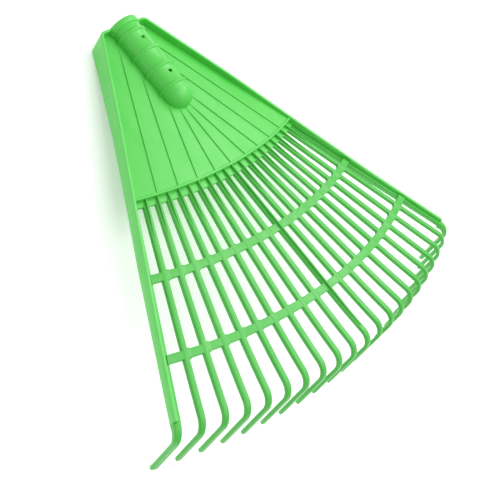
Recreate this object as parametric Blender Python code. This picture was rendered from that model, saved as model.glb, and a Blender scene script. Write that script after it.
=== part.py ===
"""Head of a plastic lawn rake: a handle socket on an arched fan of bent tines.

The real head is one injection moulding. Each region that does its own job is modelled here as
a separate closed solid, with a moulding gap to its neighbours. The fan is drawn with the tines'
common centre at the origin, the tines towards -Y and the socket's open side up. Everything is
then parented to one empty, which tips the head onto its rear edge and its outer tine tips and
puts the origin under the middle of its bounding box.
"""

import math

import bmesh
import bpy
import numpy as np
from mathutils import Matrix, Vector

# ---- Driving dimensions: metres, and radians where an angle is named ----
GAP = 0.0003  # clearance between neighbouring solids

# Fan
TINE_COUNT = 21
HALF_SPREAD = math.radians(28.3)  # from the middle tine to an outer one
ARCH = 0.181  # droop of the fan per metre of radius, times the sine of the angle squared

# Tines
TINE_WIDTH = 0.0057
TINE_DEPTH = 0.0040
TINE_START_RADIUS = 0.2306
TINE_START_BOW = 0.044  # how much further out an arc lies at the outer tines, as a share of its radius
BEND_RADIUS = 0.0154  # on the outside of the bend
BEND_ANGLE = math.radians(85.2)
BEND_CORNER_RADIUS = 0.4345
BEND_CORNER_BOW = 0.0355
TIP_LENGTH = 0.0477
TIP_WIDTH = 0.0050
TIP_DEPTH = 0.0036
TIP_ROUNDING = 0.0015
ROOT_RIB_WIDTH = 0.0018
ROOT_RIB_HEIGHT = 0.0024  # at the rim, where the rib starts above the web
ROOT_RIB_LENGTH = 0.033
FREE_END_RISE = 0.0015  # how far the middle tine springs up between the outer crossbar and its bend

# Outer tines, each a ledge along its side rail and a stouter bend beyond the rail's end
OUTER_TINE_REACH = 0.0040  # from the tine's ray to its inner side
OUTER_TINE_DROP = 0.0022  # its top lies this far below the other tines' tops
OUTER_TINE_DEPTH = 0.0040
OUTER_BEND_DEPTH = 0.0082
OUTER_TIP_WIDTH = 0.0060

# Crossbars
BAR_WIDTH = 0.0080
BAR_DEPTH = 0.0040
INNER_BAR_RADIUS = 0.2955
INNER_BAR_BOW = 0.046
OUTER_BAR_RADIUS = 0.3674
OUTER_BAR_BOW = 0.040

# Spine on the middle tine
SPINE_WIDTH = 0.0017
SPINE_HEIGHT = 0.0024
SPINE_END_HEIGHT = 0.0008
SPINE_END_RADIUS = 0.4150
SPINE_RAMP = 0.012

# Panel with its rim and the web that the tines grow from
REAR_SETBACK = 0.0490  # from the tines' common centre to the head's rear edge
PANEL_TOP = 0.0030  # at the rim, above the tines' upper faces
PANEL_REAR_TOP = 0.0016
PANEL_THICKNESS = 0.0025
RIM_RADIUS = 0.2212
RIM_BOW = 0.058
RIM_WIDTH = 0.0026
RIM_TOP = 0.0045
WEB_TOP = -0.0005
WEB_BOTTOM = -0.0040
PANEL_RIB_COUNT = 9
FIRST_RIBBED_TINE = 2  # every second tine from this one, counted from 0, has a rib above it
PANEL_RIB_WIDTH = 0.0014
PANEL_RIB_HEIGHT = 0.0011
# where each rib of one half would meet the socket's axis, from the outermost to the middle one
PANEL_RIB_AIMS = (0.031, 0.062, 0.101, 0.116, 0.120)

# Side rails and rear walls
RAIL_THICKNESS = 0.0030
RAIL_OUTSET = 0.0025  # from the outer tine's ray to the rail's outer face
RAIL_END_RADIUS = 0.4350
RAIL_REAR_EDGES = (0.0098, -0.0162)  # upper and lower edge at the rear
RAIL_END_EDGES = (0.0010, -0.0104)
RAIL_STATIONS = (  # radius, upper edge and lower edge between the two ends
    (0.155, 0.0089, -0.0101),
    (0.205, 0.0071, -0.0097),
    (0.262, 0.0045, -0.0110),
    (0.290, 0.0036, -0.0119),
    (0.350, 0.0018, -0.0113),
)
REAR_WALL_THICKNESS = 0.0026
REAR_WALL_REACH = 0.0158  # from the middle plane to a rear wall's inner end

# Socket
SOCKET_AXIS_HEIGHT = 0.0030
BORE_RADIUS = 0.0140
BORE_DEPTH = 0.0780
BARREL_RADIUS = 0.0155
COLLAR_RADIUS = 0.0173
COLLAR_LENGTH = 0.0065
RING_RADIUS = 0.0173
RING_WIDTH = 0.0040
RING_SETBACKS = (0.0643, 0.0875, 0.1080, 0.1296)  # from the tines' common centre
DOME_SETBACK = 0.1374
SCREW_HOLE_RADIUS = 0.0018
SCREW_HOLE_SETBACKS = (0.0745, 0.1168)

# Resolution
SPIN_STEPS = 32
ARC_STEPS = 40
BEND_STEPS = 6
FREE_END_STEPS = 2
DOME_STEPS = 6
RIB_STEPS = 6
HOLE_SIDES = 16
HALVINGS = 40  # of a way whose clear part is sought
POSE_ROUNDS = 6  # of the search for the points that the head stands on

# Finish: base colour as linear red, green and blue
PLASTIC_COLOUR = (0.150, 0.680, 0.130, 1.0)
PLASTIC_ROUGHNESS = 0.42

# ---- Values that follow from the driving dimensions ----
MIDDLE_TINE = (TINE_COUNT - 1) // 2
RAIL_INSET = RAIL_THICKNESS - RAIL_OUTSET  # from the outer ray to the rail's inner face
PANEL_SIDE = RAIL_INSET + GAP  # where the panel, rim and web end beside a rail
BAR_SIDE = OUTER_TINE_REACH + GAP  # where a crossbar ends beside an outer tine
SOCKET_REACH = max(COLLAR_RADIUS, RING_RADIUS)
LAP_LEVEL = -TINE_DEPTH / 2  # a bar passes below this level and a tine above it
WEB_SKEW = math.atan(2 * TINE_START_BOW / HALF_SPREAD)  # the web's edge at an outer tine


# ---- Geometry of the fan ----
def fan_point(radius, angle, side=0.0, lift=0.0):
    """A point beside a ray of the fan, `lift` above the arched face that the tines' tops form."""
    droop = ARCH * radius * math.sin(angle) ** 2
    slope = 2 * ARCH * math.sin(angle) * math.cos(angle)
    return Vector((
        radius * math.sin(angle) + side * math.cos(angle),
        -radius * math.cos(angle) + side * math.sin(angle),
        lift - droop - slope * side,
    ))


def plan_point(x, y, lift):
    """A point of the arched face given by its place in plan."""
    return Vector((x, y, lift - ARCH * x * x / math.hypot(x, y)))


def bowed(radius, bow, share):
    """Radius of an arc at a share of the half spread, -1 at the left rail and 1 at the right."""
    return radius * (1 + bow * share * share)


def share_of(tine):
    """Place of a tine across the fan, from -1 to 1."""
    return (tine - MIDDLE_TINE) / MIDDLE_TINE


def across(share, radius, lift, inset=PANEL_SIDE):
    """A point at a share of the half spread, where 1 is the right rail's side less an inset."""
    return fan_point(radius, share * HALF_SPREAD, -share * inset, lift)


def panel_lift(radius):
    """Height of the panel's upper face above the arch of the tines."""
    share = (radius - REAR_SETBACK) / (RIM_RADIUS - REAR_SETBACK)
    return PANEL_REAR_TOP + (PANEL_TOP - PANEL_REAR_TOP) * share


def rear_radius(angle, side, setback=REAR_SETBACK):
    """Radius at which a line beside a ray comes this far forward of the tines' common centre."""
    return (setback + side * math.sin(angle)) / math.cos(angle)


def arc_shares(steps):
    return [-1 + 2 * step / steps for step in range(steps + 1)]


# ---- Building blocks ----
def plastic(name):
    """The moulding's green plastic, one material for each solid."""
    material = bpy.data.materials.new(name + "_plastic")
    material.use_nodes = True
    shader = material.node_tree.nodes["Principled BSDF"]
    shader.inputs["Base Color"].default_value = PLASTIC_COLOUR
    shader.inputs["Roughness"].default_value = PLASTIC_ROUGHNESS
    shader.inputs["Metallic"].default_value = 0.0
    return material


def add_object(name, mesh_data):
    """A new object from a bmesh, which is freed."""
    bmesh.ops.recalc_face_normals(mesh_data, faces=mesh_data.faces)
    mesh = bpy.data.meshes.new(name)
    mesh_data.to_mesh(mesh)
    mesh_data.free()
    thing = bpy.data.objects.new(name, mesh)
    bpy.context.scene.collection.objects.link(thing)
    return thing


def loft_into(mesh_data, sections):
    """Skin a row of equal sections, closed at both ends, into a bmesh."""
    rings = [[mesh_data.verts.new(point) for point in section] for section in sections]
    for ring, following in zip(rings, rings[1:]):
        for corner in range(len(ring)):
            after = (corner + 1) % len(ring)
            mesh_data.faces.new((ring[corner], ring[after], following[after], following[corner]))
    mesh_data.faces.new(rings[0])
    mesh_data.faces.new(rings[-1])


def loft(name, sections):
    """An object skinned over a row of sections."""
    mesh_data = bmesh.new()
    loft_into(mesh_data, sections)
    return add_object(name, mesh_data)


def lofts(name, rows):
    """One object of several separate skins, for a cutter."""
    mesh_data = bmesh.new()
    for sections in rows:
        loft_into(mesh_data, sections)
    return add_object(name, mesh_data)


def as_node(thing):
    """Give a solid its material."""
    thing.data.materials.append(plastic(thing.name))
    return thing


def as_cutter(thing):
    """Hide a helper that only serves Booleans."""
    thing.hide_render = True
    thing.display_type = "WIRE"
    return thing


def combine(thing, operation, other):
    """A Boolean modifier with the exact solver."""
    modifier = thing.modifiers.new(operation.lower() + "_" + other.name, "BOOLEAN")
    modifier.operation = operation
    modifier.solver = "EXACT"
    modifier.object = other


def shade_round(thing, angle=math.radians(35)):
    thing.data.shade_smooth()
    thing.data.set_sharp_from_angle(angle=angle)


# ---- Tines ----
def tine_start(tine, side=0.0):
    """Where a tine leaves the web, along a line beside its ray; the web's edge runs askew to it."""
    share = share_of(tine) + side / (TINE_START_RADIUS * HALF_SPREAD)
    return bowed(TINE_START_RADIUS, TINE_START_BOW, share) + GAP / math.cos(WEB_SKEW)


def bend_start(tine):
    """Radius at which a tine starts to bend, from the corner that its straight faces would make."""
    corner = bowed(BEND_CORNER_RADIUS, BEND_CORNER_BOW, share_of(tine))
    return corner - BEND_RADIUS * math.tan(BEND_ANGLE / 2)


def tine_sides(tine, width):
    """Left and right side of a tine, measured from its ray; the outer tines share an inner side."""
    share = share_of(tine)
    if abs(share) < 1:
        return -width / 2, width / 2
    outer = OUTER_TINE_REACH - width
    return (-OUTER_TINE_REACH, -outer) if share > 0 else (outer, OUTER_TINE_REACH)


def tine_lift(tine, radius):
    """Height of a tine's top: an outer tine is sunk, and the others spring up past the last bar."""
    share = share_of(tine)
    if abs(share) == 1:
        return -OUTER_TINE_DROP
    bar = bowed(OUTER_BAR_RADIUS, OUTER_BAR_BOW, share)
    past = max(0.0, radius - bar) / (bend_start(tine) - bar)
    return FREE_END_RISE * (1 - share * share) * past * past


def tine_section(angle, place, turn, sides, depth):
    """Four corners across a tine: its top at `place`, its body on the inside of the bend."""
    left, right = sides
    slope = 2 * ARCH * math.sin(angle) * math.cos(angle)
    sideways = Vector((math.cos(angle), math.sin(angle), -slope))
    ahead = Vector((math.sin(angle), -math.cos(angle), 0.0))
    inwards = -ahead * math.sin(turn) - Vector((0.0, 0.0, 1.0)) * math.cos(turn)
    top_left = place + sideways * left
    top_right = place + sideways * right
    return [top_left, top_right, top_right + inwards * depth, top_left + inwards * depth]


def bend_sections(tine, start_sides, start_depth, tip_sides):
    """Sections round a tine's bend and down to its rounded tip."""
    angle = share_of(tine) * HALF_SPREAD
    start = fan_point(bend_start(tine), angle, 0.0, tine_lift(tine, bend_start(tine)))
    ahead = Vector((math.sin(angle), -math.cos(angle), 0.0))
    down = Vector((0.0, 0.0, -1.0))
    sections = []
    for step in range(BEND_STEPS + 1):
        share = step / BEND_STEPS
        turn = BEND_ANGLE * share
        place = start + (ahead * math.sin(turn) + down * (1 - math.cos(turn))) * BEND_RADIUS
        sides = [a + (b - a) * share for a, b in zip(start_sides, tip_sides)]
        depth = start_depth + (TIP_DEPTH - start_depth) * share
        sections.append(tine_section(angle, place, turn, sides, depth))
    along = ahead * math.cos(BEND_ANGLE) + down * math.sin(BEND_ANGLE)
    shoulder = place + along * (TIP_LENGTH - TIP_ROUNDING)
    sections.append(tine_section(angle, shoulder, BEND_ANGLE, tip_sides, TIP_DEPTH))
    inset = (ahead * -math.sin(BEND_ANGLE) + down * math.cos(BEND_ANGLE)) * TIP_ROUNDING
    narrowed = (tip_sides[0] + TIP_ROUNDING, tip_sides[1] - TIP_ROUNDING)
    end = place + along * TIP_LENGTH + inset * 0.5
    sections.append(tine_section(angle, end, BEND_ANGLE, narrowed, TIP_DEPTH - TIP_ROUNDING))
    return sections


def straight_section(tine, radius, sides, depth):
    angle = share_of(tine) * HALF_SPREAD
    place = fan_point(radius, angle, 0.0, tine_lift(tine, radius))
    return tine_section(angle, place, 0.0, sides, depth)


def start_section(tine, sides, top, depth):
    """Four corners where a tine leaves the web."""
    angle = share_of(tine) * HALF_SPREAD
    left, right = sides
    return [
        fan_point(tine_start(tine, left), angle, left, top),
        fan_point(tine_start(tine, right), angle, right, top),
        fan_point(tine_start(tine, right), angle, right, top - depth),
        fan_point(tine_start(tine, left), angle, left, top - depth),
    ]


def build_outer_tine(tine):
    """The ledge along a rail, with the stout bend and the tip beyond the rail's end."""
    narrow = tine_sides(tine, OUTER_TINE_REACH - PANEL_SIDE)
    full = tine_sides(tine, OUTER_TINE_REACH + RAIL_OUTSET)
    rail_end = RAIL_END_RADIUS + GAP
    sections = [
        start_section(tine, narrow, -OUTER_TINE_DROP, OUTER_TINE_DEPTH),
        straight_section(tine, rail_end, narrow, OUTER_TINE_DEPTH),
        straight_section(tine, rail_end + GAP, full, OUTER_BEND_DEPTH),
    ]
    sections += bend_sections(tine, full, OUTER_BEND_DEPTH, tine_sides(tine, OUTER_TIP_WIDTH))
    return as_node(loft(f"tine_{tine + 1:02d}", sections))


def build_tine(tine, seats):
    """A bent tine, let into the top of both crossbars."""
    if abs(share_of(tine)) == 1:
        return build_outer_tine(tine)
    sides = tine_sides(tine, TINE_WIDTH)
    sections = [start_section(tine, sides, 0.0, TINE_DEPTH)]
    free_start = bowed(OUTER_BAR_RADIUS, OUTER_BAR_BOW, share_of(tine)) + BAR_WIDTH
    for step in range(FREE_END_STEPS):
        radius = free_start + (bend_start(tine) - free_start) * step / FREE_END_STEPS
        sections.append(straight_section(tine, radius, sides, TINE_DEPTH))
    sections += bend_sections(tine, sides, TINE_DEPTH, tine_sides(tine, TIP_WIDTH))
    thing = as_node(loft(f"tine_{tine + 1:02d}", sections))
    for seat in seats:
        combine(thing, "DIFFERENCE", seat)
    if tine != MIDDLE_TINE:
        combine(thing, "UNION", build_root_rib(tine))
    return thing


def build_root_rib(tine):
    """The wedge that stiffens a tine's root, from the rim over the web; it joins the tine."""
    share = share_of(tine)
    rim = bowed(RIM_RADIUS + RIM_WIDTH / 2, RIM_BOW, share) + 2 * GAP
    angle = share * HALF_SPREAD
    sunk = TINE_DEPTH / 4
    stations = (
        (rim, ROOT_RIB_HEIGHT, WEB_TOP + GAP),
        (tine_start(tine), ROOT_RIB_HEIGHT, WEB_TOP + GAP),
        (tine_start(tine) + ROOT_RIB_LENGTH, -sunk / 2, -sunk),
    )
    sections = []
    for radius, top, base in stations:
        sections.append([
            fan_point(radius, angle, -ROOT_RIB_WIDTH / 2, top),
            fan_point(radius, angle, ROOT_RIB_WIDTH / 2, top),
            fan_point(radius, angle, ROOT_RIB_WIDTH / 2, base),
            fan_point(radius, angle, -ROOT_RIB_WIDTH / 2, base),
        ])
    return as_cutter(loft(f"root_rib_{tine + 1:02d}", sections))


# ---- Parts that run across the fan ----
def arc_sections(inner, outer, top, bottom, inset=PANEL_SIDE):
    """Sections of a band across the fan between two arcs, each given as a radius and a bow."""
    sections = []
    for share in arc_shares(ARC_STEPS):
        near = bowed(inner[0], inner[1], share)
        far = bowed(outer[0], outer[1], share)
        sections.append([
            across(share, near, top, inset),
            across(share, far, top, inset),
            across(share, far, bottom, inset),
            across(share, near, bottom, inset),
        ])
    return sections


def bar_sections(radius, bow, margin, top, bottom):
    """Sections of a crossbar, or of the room for one with a margin beside it."""
    reach = BAR_WIDTH / 2 + margin
    inner = (radius - reach, bow * radius / (radius - reach))
    outer = (radius + reach, bow * radius / (radius + reach))
    return arc_sections(inner, outer, top, bottom, BAR_SIDE)


def build_seat(name, radius, bow):
    """The space that a crossbar takes from the underside of every tine."""
    sections = bar_sections(radius, bow, GAP, LAP_LEVEL + GAP / 2, -2 * TINE_DEPTH)
    return as_cutter(loft(name, sections))


def build_tine_slots(name, radius, bow):
    """The spaces that all tines take from the top of a crossbar."""
    rows = []
    for tine in range(1, TINE_COUNT - 1):
        share = share_of(tine)
        angle = share * HALF_SPREAD
        middle = bowed(radius, bow, share)
        left, right = tine_sides(tine, TINE_WIDTH)
        sections = []
        for reach in (-BAR_WIDTH, BAR_WIDTH):
            sections.append([
                fan_point(middle + reach, angle, left - GAP, BAR_DEPTH),
                fan_point(middle + reach, angle, right + GAP, BAR_DEPTH),
                fan_point(middle + reach, angle, right + GAP, LAP_LEVEL - GAP / 2),
                fan_point(middle + reach, angle, left - GAP, LAP_LEVEL - GAP / 2),
            ])
        rows.append(sections)
    return as_cutter(lofts(name, rows))


def build_crossbar(name, radius, bow):
    """A bar between the outer tines, notched where each inner tine is let in."""
    thing = as_node(loft(name, bar_sections(radius, bow, 0.0, 0.0, -BAR_DEPTH)))
    combine(thing, "DIFFERENCE", build_tine_slots(name + "_slots", radius, bow))
    return thing


def build_arc_rim():
    """The raised rim along the panel's lower edge."""
    outer = RIM_RADIUS + RIM_WIDTH / 2
    inner = RIM_RADIUS - RIM_WIDTH / 2
    bottom = PANEL_TOP - PANEL_THICKNESS
    return as_node(loft("arc_rim", arc_sections((inner, RIM_BOW), (outer, RIM_BOW), RIM_TOP, bottom)))


def build_root_web():
    """The lower step between the rim and the tines' roots."""
    inner = RIM_RADIUS + RIM_WIDTH / 2 + GAP
    sections = arc_sections((inner, RIM_BOW), (TINE_START_RADIUS, TINE_START_BOW), WEB_TOP, WEB_BOTTOM)
    return as_node(loft("root_web", sections))


def build_spine():
    """The tall rib along the middle tine, over both crossbars."""
    start = RIM_RADIUS + RIM_WIDTH / 2 + GAP
    stations = (
        (start, RIM_TOP - GAP),
        (start + SPINE_RAMP, SPINE_HEIGHT),
        (OUTER_BAR_RADIUS + BAR_WIDTH, SPINE_HEIGHT),
        (SPINE_END_RADIUS, SPINE_END_HEIGHT),
    )
    sections = []
    for radius, height in stations:
        base = tine_lift(MIDDLE_TINE, radius) + GAP
        top = base + height
        sections.append([
            fan_point(radius, 0.0, -SPINE_WIDTH / 2, top),
            fan_point(radius, 0.0, SPINE_WIDTH / 2, top),
            fan_point(radius, 0.0, SPINE_WIDTH / 2, base),
            fan_point(radius, 0.0, -SPINE_WIDTH / 2, base),
        ])
    return as_node(loft("spine_rib", sections))


# ---- Panel ----
def panel_outline(share):
    """The panel's rear and lower radius at a share of the half spread."""
    behind = REAR_SETBACK + REAR_WALL_THICKNESS + GAP
    rear = rear_radius(share * HALF_SPREAD, -share * PANEL_SIDE, behind)
    lower = bowed(RIM_RADIUS - RIM_WIDTH / 2, RIM_BOW, share) - GAP
    return rear, lower


def build_panel(socket_space):
    """The thin arched panel, open where the socket passes through it."""
    sections = []
    for share in arc_shares(ARC_STEPS):
        rear, lower = panel_outline(share)
        sections.append([
            across(share, rear, panel_lift(rear)),
            across(share, lower, panel_lift(lower)),
            across(share, lower, panel_lift(lower) - PANEL_THICKNESS),
            across(share, rear, panel_lift(rear) - PANEL_THICKNESS),
        ])
    thing = as_node(loft("panel", sections))
    combine(thing, "DIFFERENCE", socket_space)
    return thing


def build_socket_space():
    """An upright prism with the socket's outline in plan, and the clearance round it."""
    reach = SOCKET_REACH + GAP
    outline = [(reach, -REAR_SETBACK + reach), (-reach, -REAR_SETBACK + reach)]
    turns = 2 * DOME_STEPS
    for step in range(turns + 1):
        turn = math.pi * step / turns
        outline.append((-reach * math.cos(turn), -DOME_SETBACK - reach * math.sin(turn)))
    sections = []
    for height in (-SOCKET_REACH, SOCKET_REACH):
        sections.append([Vector((x, y, height)) for x, y in outline])
    return as_cutter(loft("socket_space", sections))


def clear_of_socket(start, end):
    """The point nearest to `start`, on the way to `end`, that clears the socket in plan."""
    low, high = 0.0, 1.0
    for _ in range(HALVINGS):
        middle = (low + high) / 2
        point = start.lerp(end, middle)
        past_dome = max(0.0, -DOME_SETBACK - point.y)
        if math.hypot(point.x, past_dome) > SOCKET_REACH + 2 * GAP:
            high = middle
        else:
            low = middle
    return start.lerp(end, high)


def build_panel_rib(number):
    """A low rib from the rim towards the socket, standing on the panel."""
    middle = (PANEL_RIB_COUNT - 1) // 2
    tine = FIRST_RIBBED_TINE + 2 * number
    share = share_of(tine)
    aim = PANEL_RIB_AIMS[middle - abs(number - middle)]
    lower = bowed(RIM_RADIUS - RIM_WIDTH / 2, RIM_BOW, share) - 2 * GAP
    end = across(share, lower, 0.0).to_2d()
    start = clear_of_socket(Vector((0.0, -aim)), end)
    forward = (end - start).normalized()
    sideways = Vector((-forward.y, forward.x)) * PANEL_RIB_WIDTH / 2
    sections = []
    for station in range(RIB_STEPS + 1):
        point = start.lerp(end, station / RIB_STEPS)
        left = point - sideways
        right = point + sideways
        base = panel_lift(point.length) + GAP
        top = base + PANEL_RIB_HEIGHT
        sections.append([
            plan_point(left.x, left.y, top),
            plan_point(right.x, right.y, top),
            plan_point(right.x, right.y, base),
            plan_point(left.x, left.y, base),
        ])
    return as_node(loft(f"panel_rib_{number + 1:02d}", sections))


# ---- Side rails and rear walls ----
def build_side_rail(name, sign):
    """The upright flange along one side of the head, square at its end."""
    angle = sign * HALF_SPREAD
    faces = (sign * RAIL_OUTSET, -sign * RAIL_INSET)
    rear = [rear_radius(angle, face) for face in faces]
    rows = [(rear, RAIL_REAR_EDGES)]
    rows += [((radius, radius), (upper, lower)) for radius, upper, lower in RAIL_STATIONS]
    rows.append(((RAIL_END_RADIUS, RAIL_END_RADIUS), RAIL_END_EDGES))
    sections = []
    for radii, (upper, lower) in rows:
        sections.append([
            upright_point(radii[0], angle, faces[0], upper),
            upright_point(radii[1], angle, faces[1], upper),
            upright_point(radii[1], angle, faces[1], lower),
            upright_point(radii[0], angle, faces[0], lower),
        ])
    return as_node(loft(name, sections))


def upright_point(radius, angle, side, lift):
    """A point beside a ray whose height is taken from the ray itself, for faces level across."""
    point = fan_point(radius, angle, side, 0.0)
    point.z = fan_point(radius, angle).z + lift
    return point


def build_rear_wall(name, sign, collar_space):
    """The short wall between the socket's collar and a side rail."""
    outer_side = -sign * PANEL_SIDE
    upper, lower = RAIL_REAR_EDGES
    angle = sign * HALF_SPREAD
    sections = []
    for setback in (REAR_SETBACK, REAR_SETBACK + REAR_WALL_THICKNESS):
        radius = rear_radius(angle, outer_side, setback)
        corner = fan_point(radius, angle, outer_side)
        base = fan_point(radius, angle).z
        inner = sign * REAR_WALL_REACH
        sections.append([
            Vector((inner, -setback, base + upper)),
            Vector((corner.x, -setback, base + upper)),
            Vector((corner.x, -setback, base + lower)),
            Vector((inner, -setback, base + lower)),
        ])
    thing = as_node(loft(name, sections))
    combine(thing, "DIFFERENCE", collar_space)
    return thing


# ---- Socket ----
def along_axis(radius, setback):
    """A point of the socket's profile, which is turned about its axis."""
    return Vector((radius, -setback, SOCKET_AXIS_HEIGHT))


def socket_profile():
    """Half section from the bore's end, out over the mouth and along the outside to the dome."""
    wall_slope = RING_RADIUS - BARREL_RADIUS
    points = [(0.0, REAR_SETBACK + BORE_DEPTH), (BORE_RADIUS, REAR_SETBACK + BORE_DEPTH)]
    points += [(BORE_RADIUS, REAR_SETBACK), (COLLAR_RADIUS, REAR_SETBACK)]
    points += [(COLLAR_RADIUS, REAR_SETBACK + COLLAR_LENGTH)]
    points += [(BARREL_RADIUS, REAR_SETBACK + COLLAR_LENGTH + COLLAR_RADIUS - BARREL_RADIUS)]
    for ring in RING_SETBACKS:
        half = RING_WIDTH / 2
        points += [(BARREL_RADIUS, ring - half), (RING_RADIUS, ring - half + wall_slope)]
        points += [(RING_RADIUS, ring + half - wall_slope), (BARREL_RADIUS, ring + half)]
    for step in range(DOME_STEPS + 1):
        turn = math.pi / 2 * step / DOME_STEPS
        points.append((BARREL_RADIUS * math.cos(turn), DOME_SETBACK + BARREL_RADIUS * math.sin(turn)))
    points[-1] = (0.0, DOME_SETBACK + BARREL_RADIUS)
    return points


def build_screw_holes():
    """Two drillings through the socket's upper wall, for the screws that hold the handle."""
    mesh_data = bmesh.new()
    length = 2 * (RING_RADIUS - BORE_RADIUS) + BORE_RADIUS / 2
    height = SOCKET_AXIS_HEIGHT + BORE_RADIUS
    for setback in SCREW_HOLE_SETBACKS:
        bmesh.ops.create_cone(
            mesh_data,
            cap_ends=True,
            segments=HOLE_SIDES,
            radius1=SCREW_HOLE_RADIUS,
            radius2=SCREW_HOLE_RADIUS,
            depth=length,
            matrix=Matrix.Translation((0.0, -setback, height)),
        )
    return as_cutter(add_object("screw_holes", mesh_data))


def build_socket():
    """The barrel with its collar, rings, dome, bore and screw holes."""
    mesh_data = bmesh.new()
    profile = [mesh_data.verts.new(along_axis(*point)) for point in socket_profile()]
    edges = [mesh_data.edges.new(pair) for pair in zip(profile, profile[1:])]
    bmesh.ops.spin(
        mesh_data,
        geom=profile + edges,
        cent=along_axis(0.0, 0.0),
        axis=(0.0, 1.0, 0.0),
        angle=2 * math.pi,
        steps=SPIN_STEPS,
        use_merge=True,
    )
    bmesh.ops.remove_doubles(mesh_data, verts=mesh_data.verts, dist=1e-6)
    thing = as_node(add_object("socket_barrel", mesh_data))
    shade_round(thing)
    combine(thing, "DIFFERENCE", build_screw_holes())
    return thing


def build_collar_space():
    """A cylinder that clears the collar, for the rear walls' inner ends."""
    mesh_data = bmesh.new()
    level = Matrix.Translation((0.0, -REAR_SETBACK, SOCKET_AXIS_HEIGHT))
    bmesh.ops.create_cone(
        mesh_data,
        cap_ends=True,
        segments=SPIN_STEPS,
        radius1=COLLAR_RADIUS + GAP,
        radius2=COLLAR_RADIUS + GAP,
        depth=4 * COLLAR_LENGTH,
        matrix=level @ Matrix.Rotation(math.pi / 2, 4, "X"),
    )
    return as_cutter(add_object("collar_space", mesh_data))


# ---- Rest pose ----
def rest_pose(things):
    """The tilt about X and the shift that stand the head on its rear and its outer tips."""
    points = np.array([vertex.co for thing in things for vertex in thing.data.vertices])
    rear = points[points[:, 1] > -DOME_SETBACK]
    front = points[points[:, 1] < -INNER_BAR_RADIUS]
    tilt = 0.0
    for _ in range(POSE_ROUNDS):
        heights = [group[:, 1] * math.sin(tilt) + group[:, 2] * math.cos(tilt) for group in (rear, front)]
        low_rear = rear[heights[0].argmin()]
        low_front = front[heights[1].argmin()]
        rise = low_rear[2] - low_front[2]
        run = low_front[1] - low_rear[1]
        tilt = math.atan(rise / run)
    turned = points @ np.array(Matrix.Rotation(tilt, 3, "X").transposed())
    low = turned.min(axis=0)
    high = turned.max(axis=0)
    shift = Vector((0.0, -(low[1] + high[1]) / 2, -low[2]))
    return tilt, shift


def build():
    """Model the head and stand it in its rest pose."""
    for old in list(bpy.data.objects):
        bpy.data.objects.remove(old, do_unlink=True)
    socket_space = build_socket_space()
    collar_space = build_collar_space()
    seats = (
        build_seat("inner_bar_seat", INNER_BAR_RADIUS, INNER_BAR_BOW),
        build_seat("outer_bar_seat", OUTER_BAR_RADIUS, OUTER_BAR_BOW),
    )
    things = [build_socket(), build_panel(socket_space), build_arc_rim(), build_root_web()]
    things += [build_panel_rib(number) for number in range(PANEL_RIB_COUNT)]
    for side, sign in (("left", -1), ("right", 1)):
        things.append(build_side_rail("side_rail_" + side, sign))
        things.append(build_rear_wall("rear_wall_" + side, sign, collar_space))
    things.append(build_crossbar("inner_crossbar", INNER_BAR_RADIUS, INNER_BAR_BOW))
    things.append(build_crossbar("outer_crossbar", OUTER_BAR_RADIUS, OUTER_BAR_BOW))
    things += [build_tine(tine, seats) for tine in range(TINE_COUNT)]
    things.append(build_spine())
    tilt, shift = rest_pose(things)
    pose = bpy.data.objects.new("rest_pose", None)
    bpy.context.scene.collection.objects.link(pose)
    pose.rotation_euler = (tilt, 0.0, 0.0)
    pose.location = shift
    for thing in list(bpy.context.scene.collection.objects):
        if thing is not pose:
            thing.parent = pose


build()
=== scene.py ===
"""Plastic lawn rake head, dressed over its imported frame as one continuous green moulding."""

import logging
import math
from dataclasses import dataclass, field
from enum import Enum
from typing import Callable, Sequence

import bmesh
import bpy
from mathutils import Matrix, Vector


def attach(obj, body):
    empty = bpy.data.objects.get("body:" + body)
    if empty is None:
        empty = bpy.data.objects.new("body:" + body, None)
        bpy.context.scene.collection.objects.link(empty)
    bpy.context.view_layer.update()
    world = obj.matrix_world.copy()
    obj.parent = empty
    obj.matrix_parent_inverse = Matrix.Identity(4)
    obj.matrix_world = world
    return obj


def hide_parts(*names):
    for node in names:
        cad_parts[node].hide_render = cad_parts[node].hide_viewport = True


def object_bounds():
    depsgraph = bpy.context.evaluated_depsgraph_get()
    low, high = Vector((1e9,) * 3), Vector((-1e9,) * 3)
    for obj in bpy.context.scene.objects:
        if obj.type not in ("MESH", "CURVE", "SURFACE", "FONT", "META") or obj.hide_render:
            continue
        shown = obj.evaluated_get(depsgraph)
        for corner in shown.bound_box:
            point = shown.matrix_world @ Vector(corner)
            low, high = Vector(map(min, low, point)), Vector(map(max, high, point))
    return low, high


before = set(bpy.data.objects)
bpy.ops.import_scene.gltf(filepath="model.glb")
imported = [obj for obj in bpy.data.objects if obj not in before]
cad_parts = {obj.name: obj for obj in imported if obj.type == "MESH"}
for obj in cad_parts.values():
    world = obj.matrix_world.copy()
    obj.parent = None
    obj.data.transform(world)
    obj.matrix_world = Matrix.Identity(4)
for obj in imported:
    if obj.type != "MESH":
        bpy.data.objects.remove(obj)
FRAME_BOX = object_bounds()

log = logging.getLogger("rake_head")
BODY = "root"
MOST_CUTS = 100  # that one subdivide makes
BEVEL_SEGMENTS = 3
SMOOTH_ANGLE = math.radians(48)  # faces that meet at more than this keep a sharp corner
SUNK = 0.0012  # how far a rib on a tine reaches down into it
RIB_STOCK = 0.0036  # depth of the stock that ribs on tines are made from
RIB_ROUNDING = (0.0005, 0.0002)

Object = bpy.types.Object
Material = bpy.types.Material
Tree = bpy.types.NodeTree
Socket = bpy.types.NodeSocket
Colour = tuple[float, float, float, float]
Sides = tuple[float, float]
WHITE: Colour = (1.0, 1.0, 1.0, 1.0)


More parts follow.
